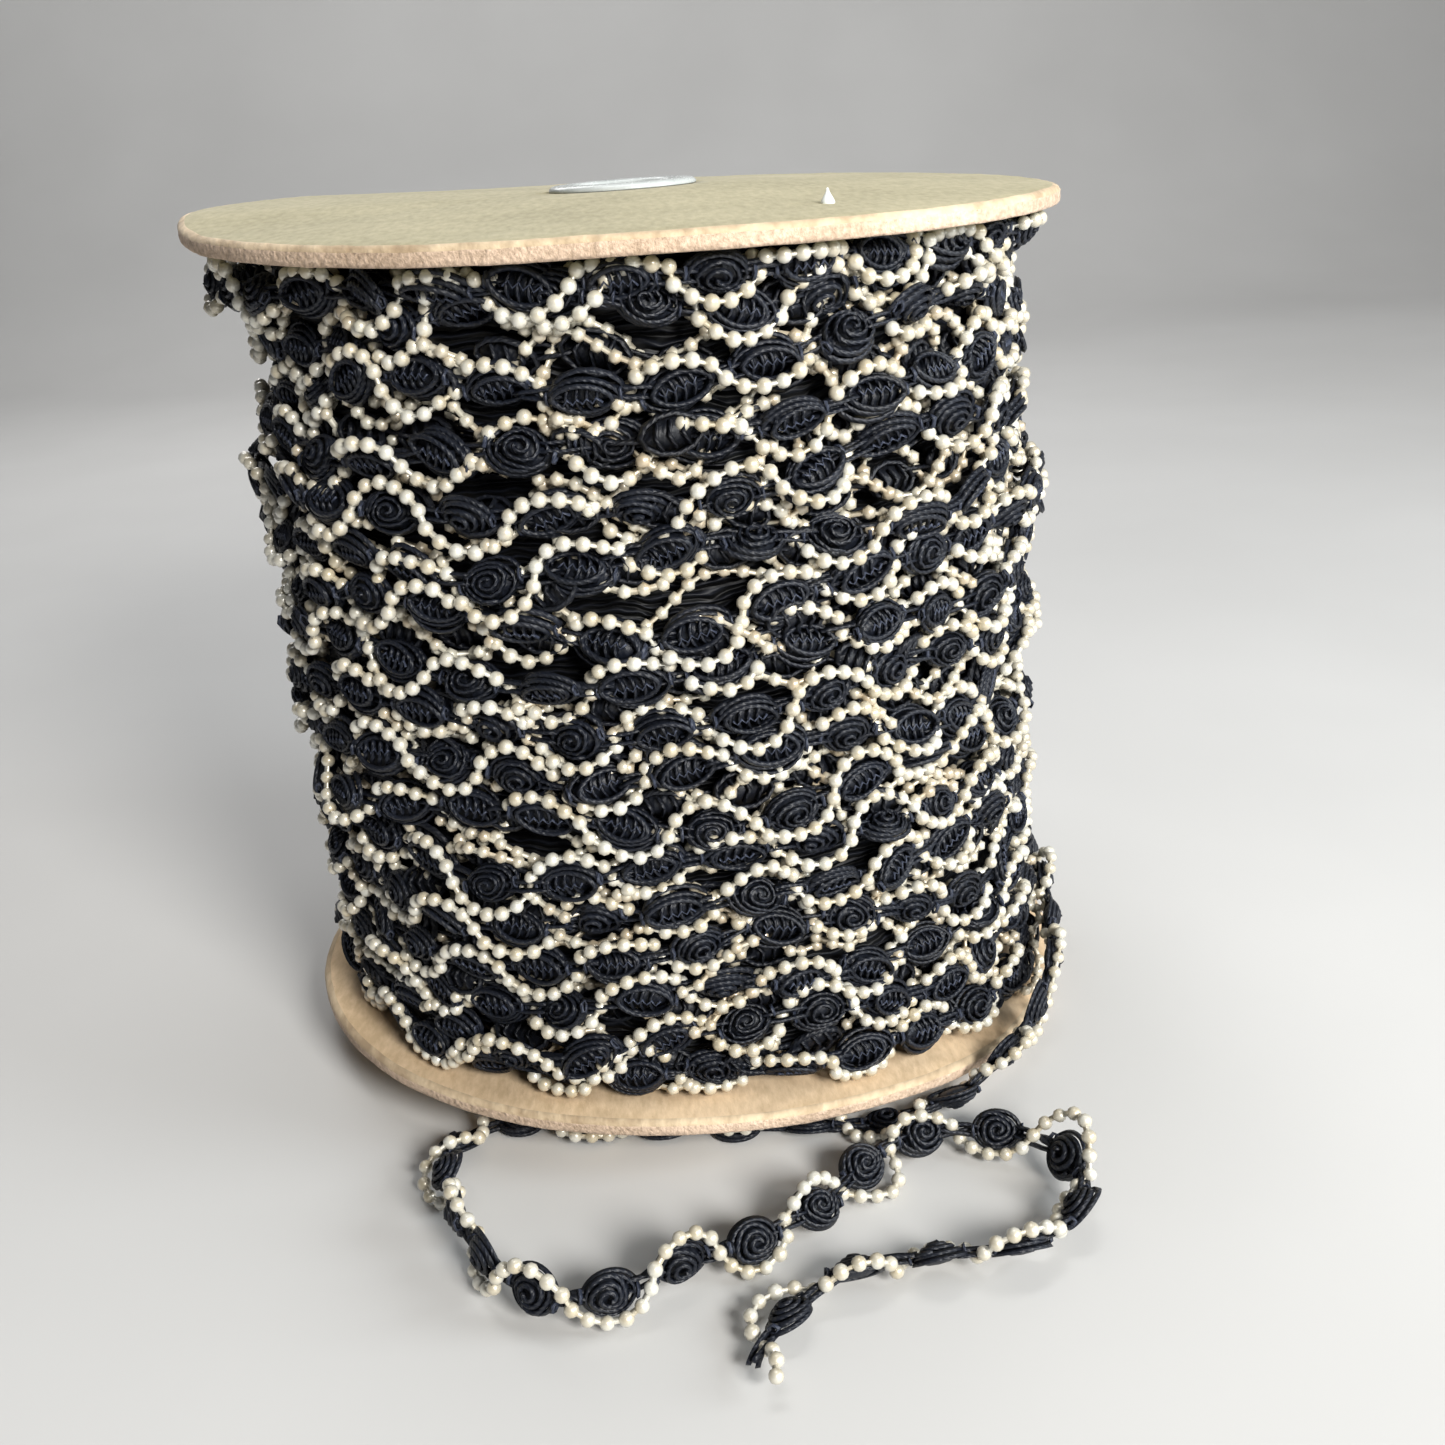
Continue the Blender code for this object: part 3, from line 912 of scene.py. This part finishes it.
def pearl_shapes(places, rng, subdivisions=2):
    """Points and faces of beads at the places, and of the short moulded links between neighbours."""
    shape, triangles = bead(subdivisions)
    sizes = rng.uniform(*BEAD_SIZES, len(places))[:, None, None]
    beads = (places[:, None] + shape[None] * sizes).reshape(-1, 3)
    bead_faces = (triangles[None] + (len(shape) * np.arange(len(places)))[:, None, None]).reshape(-1, 3)
    start, end = places[:-1], places[1:]
    close = np.linalg.norm(end - start, axis=1) < LONGEST_LINK
    start, end = start[close], end[close]
    run = unit(end - start)
    side = unit(np.cross(run, np.where(np.abs(run[:, 2:]) > 0.9, [[1.0, 0, 0]], [[0, 0, 1.0]])))
    rise = np.cross(side, run)
    ring = []
    for end_point in (start, end):
        for corner in range(3):
            angle = TAU * corner / 3
            ring.append(end_point + LINK_RADIUS * (math.cos(angle) * side + math.sin(angle) * rise))
    links = np.stack(ring, 1).reshape(-1, 3)
    prism = np.array([[0, 1, 4, 3], [1, 2, 5, 4], [2, 0, 3, 5]])
    link_faces = (prism[None] + (len(beads) + 6 * np.arange(len(start)))[:, None, None]).reshape(-1, 4)
    return np.concatenate([beads, links]), [bead_faces, link_faces]


def add_pearls(name, places, rng, finish, subdivisions=2):
    points, groups = pearl_shapes(places, rng, subdivisions)
    hold(add_mesh(name, points, groups, finish), "pearl")


def eased(room):
    """The room left to a card, which shrinks ever more slowly once it is small."""
    return np.where(room < EASE_ROOM, EASE_ROOM * np.exp(np.minimum(room / EASE_ROOM, 1) - 1), room)


def within(places):
    """The beads kept clear of the two cards."""
    x, y = places[:, 0], places[:, 1]
    clear = PEARL_RADIUS + BEAD_CLEAR
    top = UPPER_BOTTOM + upper_warp(x, y) - clear
    bottom = LOWER_TOP + lower_warp(x, y) + clear
    kept = places.copy()
    kept[:, 2] = top - eased(top - kept[:, 2])
    kept[:, 2] = bottom + eased(kept[:, 2] - bottom)
    return kept


def sunk_below(places, covers):
    """The beads pushed towards the axis where a rosette of the outer layer lies over them."""
    gaps = np.linalg.norm(places[:, None] - covers[None], axis=-1).min(1)
    depth = SUNK_DEPTH * (1 - smooth_step(SUNK_NEAR, SUNK_FAR, gaps))
    share = 1 - depth / np.hypot(places[:, 0], places[:, 1])
    return places * np.stack([share, share, np.ones(len(places))], 1)


def hold(piece, slot, *nodes):
    """The piece rides on the only body and stands for the nodes, which it hides. slot is not used."""
    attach(piece, "root")
    if nodes:
        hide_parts(*nodes)


def rosette_batches(rng, path, patterns, bands, centres, turning):
    """Rosettes at the centres, each of a random pattern, and the bands after them.

    turning is in degrees: the usual turn in the trim's plane, and the tips about its length and its width."""
    batches = []
    choice = rng.integers(0, len(patterns), len(centres))
    scales = rng.uniform(*ROSETTE_SIZES, len(centres))
    spin, tip_along, tip_across = [rng.normal(0, math.radians(usual), len(centres)) for usual in turning]
    flip = rng.uniform(0, 1, len(centres)) < 0.5
    spin = spin + np.where(flip, math.pi, 0)
    for kind, pattern in enumerate(patterns):
        chosen = choice == kind
        if not chosen.any():
            continue
        turns = (spin[chosen], tip_along[chosen], tip_across[chosen])
        frames = path.frames(centres[chosen])
        batches.append((pattern, lay(pattern, frames, scales[chosen], turns)))
    band_choice = rng.integers(0, len(bands), len(centres))
    for kind, pattern in enumerate(bands):
        places = centres[band_choice == kind] + path.pitch / 2
        if len(places):
            batches.append((pattern, bend(pattern, path, places)))
    return batches


def dress_roll(cord, pearl):
    """The outer layer of wound trim in a few pieces. Gives its rosettes' middle points."""
    rng = np.random.default_rng(11)
    patterns = [leaf_rosette(rng) for _ in range(LEAF_PATTERNS)]
    patterns += [rose_rosette(rng, 1, ROLL_STRETCH) for _ in range(ROSE_PATTERNS)]
    bands = [band(rng, ROSETTE_PITCH, 1) for _ in range(6)]
    outer = Wound(rng, 0.04, 15.95)
    first = Wound(rng, -0.85, 0.02, 0.8 * MM)
    covers = []
    for label, path, parts in (("outer", outer, ROLL_PIECES), ("first", first, 1)):
        centres = rosette_centres(path)
        covers.append(path.middle(centres))
        places = within(settle_chain(pearl_places(chain_line(rng, path, WAVE_HEIGHT, 1))))
        for number, group in enumerate(np.array_split(centres, parts)):
            batches = rosette_batches(rng, path, patterns, bands, group, (11, 17, 8))
            hold(gather(f"rosettes_{label}_{number}", batches, cord), "trim", "trim_roll")
        for number, group in enumerate(np.array_split(places, max(parts // 2, 1))):
            add_pearls(f"pearls_{label}_{number}", group, rng, pearl)
    return np.concatenate(covers)


def dress_under_layer(cord, pearl, covers):
    """The layer beneath, which shows in the gaps."""
    rng = np.random.default_rng(23)
    path = Wound(rng, 0.0, 13.6, 2.3 * MM, row_pitch=9.9 * MM, way=-1, tipping=12)
    patterns = [plain_rosette(rng) for _ in range(4)]
    bands = [band(rng, ROSETTE_PITCH, 0) for _ in range(3)]
    batches = rosette_batches(rng, path, patterns, bands, rosette_centres(path), (12, 10, 5))
    hold(gather("rosettes_under", batches, cord), "trim")
    places = pearl_places(chain_line(rng, path, WAVE_HEIGHT, -1, front=1.0 * MM))
    add_pearls("pearls_under", within(sunk_below(places, covers)), rng, pearl, 1)


def dress_between(pearl, covers):
    """One more pearl chain, half hidden between the rows of the outer layer."""
    rng = np.random.default_rng(37)
    path = Wound(rng, 0.2, 14.9, BETWEEN_INSET, start=FIRST_ROW + ROW_PITCH / 2)
    along = np.arange(0.5 * MM, path.length, 0.3 * MM)
    v = BETWEEN_WAVE * np.sin(math.pi * along / ROSETTE_PITCH + wander(rng, 150 * MM, 0.9)(along))
    w = wander(rng, 40 * MM, 0.4 * MM)(along)
    places = pearl_places(beside(path, along, v, w))
    add_pearls("pearls_between", within(sunk_below(places, covers)), rng, pearl, 1)


def wound_body(packed):
    """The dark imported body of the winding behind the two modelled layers."""
    steps, rings = 72, 193
    around = TAU * np.arange(steps) / steps
    heights = np.linspace(LOWER_TOP + BODY_CLEAR, UPPER_BOTTOM - BODY_CLEAR, rings)
    angle, height = np.meshgrid(around, heights)
    drift = 0.5 * np.sin(3 * angle + height / (9 * MM)) + 0.35 * np.sin(7 * angle - height / (14 * MM))
    bundle = (height - LOWER_TOP) / BUNDLE_PITCH - angle / TAU + drift
    radius = BODY_RADIUS + BUNDLE_RELIEF * np.cos(TAU * bundle)
    outside = np.stack([radius * np.cos(angle), radius * np.sin(angle), height], -1)
    inside = BODY_INNER_RADIUS * np.stack([np.cos(around), np.sin(around), 0 * around], -1)
    ends = [inside + [0, 0, end] for end in (heights[0], heights[-1])]
    points = np.concatenate([ends[0], *outside, ends[1]])
    faces = ring_faces(rings + 2, steps)[:, TURNED_OVER]
    hold(add_mesh("winding_body", points, [faces], packed), "trim", "trim_roll")


def dress_tail(cord, pearl):
    """The loose end, in finer detail."""
    rng = np.random.default_rng(5)
    path = Loose()
    patterns = [rose_rosette(rng, 2) for _ in range(ROSE_PATTERNS)]
    bands = [band(rng, TAIL_PITCH, 2) for _ in range(3)]
    batches = rosette_batches(rng, path, patterns, bands, rosette_centres(path), (8, 9, 6))
    for _, placed in batches:
        placed[..., 2] = np.maximum(placed[..., 2], TAIL_SURFACE_CLEAR)
    line = chain_line(rng, path, TAIL_WAVE_HEIGHT, 1)
    line[:, 2] = np.maximum(line[:, 2], PEARL_RADIUS + TAIL_BEAD_CLEAR)
    tail = gather("loose_end", batches, cord, pearl, pearl_shapes(pearl_places(line), rng))
    hold(tail, "trim", "trim_tail")
    tuple(float(part) for part in path.middle(0.0))
    path.middle(np.arange(0, path.length, 2 * MM)).tolist()


# The spool


def spun(profile, steps):
    """The directions, radii and heights of a profile spun round the axis."""
    around = TAU * np.arange(steps) / steps
    return around, np.repeat(profile[:, :1], steps, 1), np.repeat(profile[:, 1:], steps, 1)


def flange(name, bottom, finishes, rng, warp):
    """A card disc: a worn rounded edge with a torn paper border, and a slight warp.

    Its finishes are those of its faces, its cut edge and the lip above the edge."""
    steps = 210
    rings = [HOLE_RADIUS] + [ring * MM for ring in CARD_RINGS]
    top = [(ring, FLANGE_THICKNESS) for ring in rings]
    edge = [(FLANGE_RADIUS - inwards * MM, FLANGE_THICKNESS - depth * MM) for inwards, depth in CARD_EDGE]
    under = [(ring, 0.0) for ring in reversed(rings)]
    profile = np.array(top + edge + under)
    around, radius, height = spun(profile, steps)
    rim = (radius > TORN_FROM).astype(float)
    waves = (3, 7, 12, 19, 31)
    ripple = sum(rng.uniform(0.3, 1) * np.sin(count * around + rng.uniform(0, TAU)) for count in waves)
    radius = radius + rim * (0.06 * MM * ripple + rng.normal(0, 0.035 * MM, radius.shape))
    height = height + rim * rng.normal(0, 0.03 * MM, radius.shape)
    x, y = radius * np.cos(around), radius * np.sin(around)
    points = np.stack([x, y, bottom + height + warp(x, y)], -1).reshape(-1, 3)
    disc = add_mesh(name, points, [ring_faces(len(profile), steps)], finishes[0])
    for finish in finishes[1:]:
        disc.data.materials.append(finish)
    rows = np.repeat(np.arange(len(profile)), steps)
    first, last = len(top) - 1, len(top) + len(edge) - 1
    marks = ((rows >= first) & (rows < last)).astype(np.int32)
    marks[(rows >= first) & (rows < first + 3)] = 2
    disc.data.polygons.foreach_set("material_index", marks)
    disc.data.update()
    return disc


def upper_hub(finish):
    """The flanged bush in the upper card: a low rounded lip round the bore, and its sleeve."""
    base = UPPER_TOP + UPPER_MIDDLE_RISE
    profile = np.array(
        [
            (8.5, -16.5), (8.5, 0.5), (8.7, 0.85), (9.2, 1.05), (10.5, 1.15), (12.0, 1.05), (12.7, 0.85),
            (13.05, 0.55), (13.15, 0.2), (13.1, 0.05), (11.3, 0.05), (11.2, -0.2), (11.2, -16.5),
        ]
    ) * MM
    steps = 96
    around, radius, height = spun(profile, steps)
    points = np.stack([radius * np.cos(around), radius * np.sin(around), height + base], -1).reshape(-1, 3)
    hold(add_mesh("hub_upper", points, [ring_faces(len(profile), steps)], finish), "hub", "hub_ring_top")


def glue_drop():
    """A drop of dried glue, drawn up to a tip, that stands on the upper card."""
    profile = np.array(
        [
            (1.0, -0.15), (1.1, 0.1), (0.95, 0.5), (0.7, 0.95), (0.45, 1.35), (0.26, 1.75), (0.24, 2.0),
            (0.1, 2.2),
        ]
    ) * MM
    x, y = DROP_PLACE
    steps = 12
    base = UPPER_TOP + float(upper_warp(x, y))
    around, radius, height = spun(profile, steps)
    round_it = [x + radius * np.cos(around), y + radius * np.sin(around), base + height]
    points = np.stack(round_it, -1).reshape(-1, 3)
    sides = ring_faces(len(profile), steps)[:-steps, TURNED_OVER]
    tip = len(points) - steps
    cap = np.array([[tip, tip + step, tip + step + 1] for step in range(1, steps - 1)])
    hold(add_mesh("glue_drop", points, [sides, cap], glue_material()), "hub")


def dress_spool():
    card_top = card_material("card_face", (0.31, 0.275, 0.155), (0.45, 0.40, 0.245), (0.14, 0.11, 0.07))
    # The lower card's face is much paler than the upper card's: partly its own tan colour, partly painted
    # light that makes up for the little light reaching it under the roll.
    lit_card_low = card_material("card_face_low_painted_light", (0.58, 0.42, 0.25), (0.80, 0.60, 0.39), (0.32, 0.21, 0.12))
    edge_colours = (0.40, 0.29, 0.20), (0.74, 0.56, 0.42), (0.26, 0.16, 0.10)
    edge = card_material("card_edge", *edge_colours, dents=TORN_DENTS, flecks=0.6, fibre=1300)
    lip_colours = (0.40, 0.29, 0.18), (0.74, 0.59, 0.40), (0.40, 0.28, 0.16)
    lip = card_material("card_lip", *lip_colours, dents=TORN_DENTS, flecks=0.3, fibre=420)
    rng = np.random.default_rng(3)
    upper = flange("card_upper", UPPER_BOTTOM, (card_top, edge, lip), rng, upper_warp)
    lower = flange("card_lower", FOOT_HEIGHT, (lit_card_low, edge, lip), rng, lower_warp)
    hold(upper, "card", "flange_top")
    hold(lower, "card", "flange_bottom")
    hub = hub_material()
    core = card_material("core_card_tube", (0.30, 0.22, 0.14), (0.44, 0.34, 0.23), (0.14, 0.09, 0.05))
    upper_hub(hub)
    glue_drop()
    for node, finish in (("hub_ring_bottom", hub), ("core_tube", core)):
        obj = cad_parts[node]
        obj.data.materials.clear()
        obj.data.materials.append(finish)


# Floor and light


def add_area_light(name, place, target, size, power, colour=(1, 1, 1)):
    data = bpy.data.lights.new(name, "AREA")
    data.shape = "DISK"
    data.size = size
    data.energy = power
    data.color = colour
    light = bpy.data.objects.new(name, data)
    bpy.context.scene.collection.objects.link(light)
    aim = Vector(target) - Vector(place)
    light.matrix_world = Matrix.Translation(place) @ aim.to_track_quat("-Z", "Y").to_matrix().to_4x4()


def add_studio():
    half = 3.0
    bend_start, bend_radius, wall_top = 0.9, 0.5, 2.6
    turn = np.linspace(0, math.pi / 2, 17)
    y = np.concatenate([[-half], bend_start + bend_radius * np.sin(turn), [bend_start + bend_radius]])
    z = np.concatenate([[0], bend_radius * (1 - np.cos(turn)), [wall_top]])
    left = np.stack([np.full(len(y), -half), y, z], 1)
    right = np.stack([np.full(len(y), half), y, z], 1)
    count = np.arange(len(y) - 1)
    strips = np.stack([count, count + len(y), count + len(y) + 1, count + 1], 1)
    floor = add_mesh("floor", np.concatenate([left, right]), [strips], floor_material())
    middle = (0, 0, 0.08)
    add_area_light("key", (0.37, -0.74, 0.46), middle, size=0.3, power=11.0, colour=(1.0, 0.985, 0.95))
    add_area_light("side", (0.70, -0.25, 0.35), middle, size=0.35, power=3.7, colour=(0.90, 0.96, 1.0))
    add_area_light("back", (-0.3, 0.7, 0.7), middle, size=0.5, power=2.2)
    add_area_light("wall", (0, 0.3, 1.3), (0, 1.3, 0.2), size=0.8, power=9)
    world = bpy.data.worlds.new("studio")
    world.use_nodes = True
    world.node_tree.nodes["Background"].inputs["Color"].default_value = (0.9, 0.93, 1.0, 1)
    world.node_tree.nodes["Background"].inputs["Strength"].default_value = 0.075
    bpy.context.scene.world = world
    bpy.context.scene.view_settings.view_transform = "Standard"


def build():
    add_camera()
    cord = cord_material("satin_cord", (0.0058, 0.0074, 0.0125), (0.046, 0.056, 0.090), roughness=0.46)
    # The under layer's cord, stitches too, is a darker copy of the satin cord: painted shade for the layer
    # beneath the outer rows.
    shaded = (0.0040, 0.0050, 0.0084)
    shaded_cord = cord_material("satin_cord_painted_shade", shaded, (0.020, 0.024, 0.038), roughness=0.5)
    pearl = pearl_material("pearl_coat", light=(0.70, 0.685, 0.61), deep=(0.56, 0.49, 0.35))
    # The pearls under and between the outer rows take a darker copy of the pearl coat: painted shade.
    shaded_pearl = pearl_material("pearl_coat_painted_shade", light=(0.68, 0.65, 0.54), deep=(0.50, 0.41, 0.28))
    dress_tail(cord, pearl)
    covers = dress_roll(cord, pearl)
    dress_under_layer(shaded_cord, shaded_pearl, covers)
    dress_between(shaded_pearl, covers)
    wound_body(packed_material())
    dress_spool()
    add_studio()


build()
